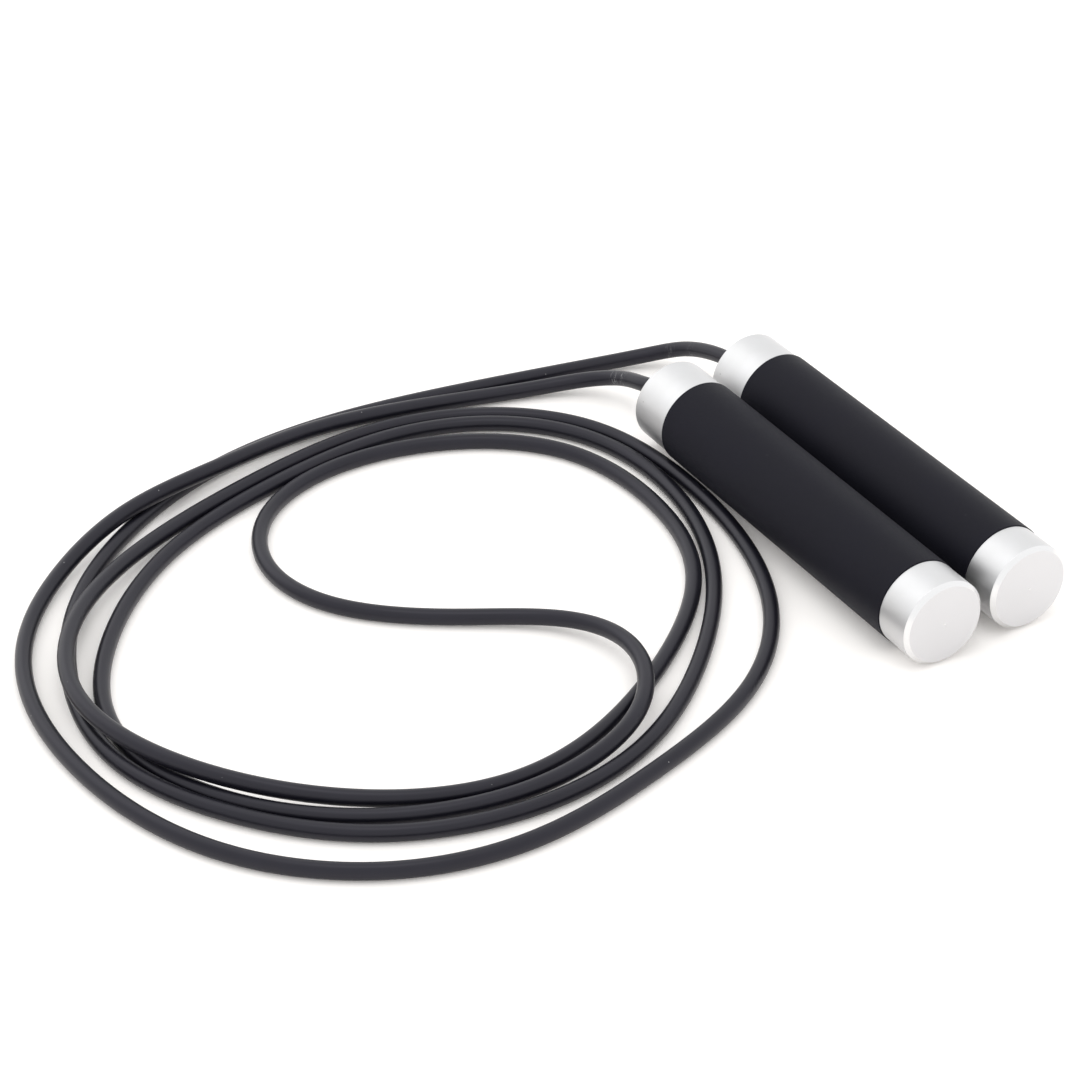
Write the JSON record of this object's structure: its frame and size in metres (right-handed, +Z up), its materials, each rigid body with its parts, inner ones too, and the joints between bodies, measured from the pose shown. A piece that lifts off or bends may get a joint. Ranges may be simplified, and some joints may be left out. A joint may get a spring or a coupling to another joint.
{
  "type": "jump rope",
  "caption": "Jump rope with two thick round handles, soft dark grips and satin metal end caps, on ball bearings, joined by a long smooth round cord lying in loose loops.",
  "frame": {"origin": "on the floor, midway between the two handles, at the bottom centre of the box round everything but the cord", "axes": "+X along the handles, from the rope end to the rear caps; +Y from handle a to handle b; +Z up"},
  "size_m": [0.2401, 0.3062, 0.03],
  "materials": {
    "soft_touch_rubber": "matte soft-touch, very fine grain",
    "core_plastic": "moulded",
    "anodised_aluminium": "fine bead-blasted and clear anodised, with a bright chamfer",
    "bearing_steel": "ground and polished",
    "spring_steel": "phosphated",
    "weight_steel": "turned and oiled",
    "brass": "turned",
    "foam": "closed-cell foam",
    "seal_rubber": "moulded nitrile",
    "cord_vinyl": "satin extruded vinyl"
  },
  "bodies": {
    "rope": {"cord": "cord_vinyl", "rope_spindle_a": "bearing_steel", "bearing_inner_race_a": "bearing_steel", "thrust_washer_a": "brass", "rope_stop_a": "brass", "rope_spindle_b": "bearing_steel", "bearing_inner_race_b": "bearing_steel", "thrust_washer_b": "brass", "rope_stop_b": "brass"},
    "handle_a": {"grip_sleeve_a": "soft_touch_rubber", "core_tube_a": "core_plastic", "front_cap_a": "anodised_aluminium", "bearing_outer_race_a": "bearing_steel", "bearing_front_shield_a": "bearing_steel", "bearing_rear_shield_a": "bearing_steel", "bearing_circlip_a": "spring_steel", "weight_liner_a": "foam", "weight_bar_a": "weight_steel", "foam_plug_front_a": "foam", "foam_plug_rear_a": "foam"},
    "ball_cage_a": {"ball_cage_a": "bearing_steel"},
    "rear_cap_a": {"rear_cap_a": "anodised_aluminium", "rear_cap_o_ring_a": "seal_rubber"},
    "handle_b": {"grip_sleeve_b": "soft_touch_rubber", "core_tube_b": "core_plastic", "front_cap_b": "anodised_aluminium", "bearing_outer_race_b": "bearing_steel", "bearing_front_shield_b": "bearing_steel", "bearing_rear_shield_b": "bearing_steel", "bearing_circlip_b": "spring_steel", "weight_liner_b": "foam", "weight_bar_b": "weight_steel", "foam_plug_front_b": "foam", "foam_plug_rear_b": "foam"},
    "ball_cage_b": {"ball_cage_b": "bearing_steel"},
    "rear_cap_b": {"rear_cap_b": "anodised_aluminium", "rear_cap_o_ring_b": "seal_rubber"}
  },
  "joints": [
    {"name": "handle_a_spin", "type": "hinge", "parent": "rope", "child": "handle_a", "pos_m": [0.00105, -0.01672, 0.015], "axis": [1, -0.007, 0], "continuous": true},
    {"name": "ball_cage_a_roll", "type": "hinge", "parent": "rope", "child": "ball_cage_a", "pos_m": [0.00105, -0.01672, 0.015], "axis": [1, -0.007, 0], "continuous": true},
    {"name": "rear_cap_a_unscrew", "type": "slide", "parent": "handle_a", "child": "rear_cap_a", "axis": [1, -0.007, 0], "range_m": [0, 0.016]},
    {"name": "handle_b_spin", "type": "hinge", "parent": "rope", "child": "handle_b", "pos_m": [-0.00105, 0.01672, 0.015], "axis": [1, 0.007, 0], "continuous": true},
    {"name": "ball_cage_b_roll", "type": "hinge", "parent": "rope", "child": "ball_cage_b", "pos_m": [-0.00105, 0.01672, 0.015], "axis": [1, 0.007, 0], "continuous": true},
    {"name": "rear_cap_b_unscrew", "type": "slide", "parent": "handle_b", "child": "rear_cap_b", "axis": [1, 0.007, 0], "range_m": [0, 0.016]}
  ],
  "couplings": [
    {"joint": "ball_cage_a_roll", "follows": "handle_a_spin", "ratio": 0.5756},
    {"joint": "ball_cage_b_roll", "follows": "handle_b_spin", "ratio": 0.5756}
  ]
}
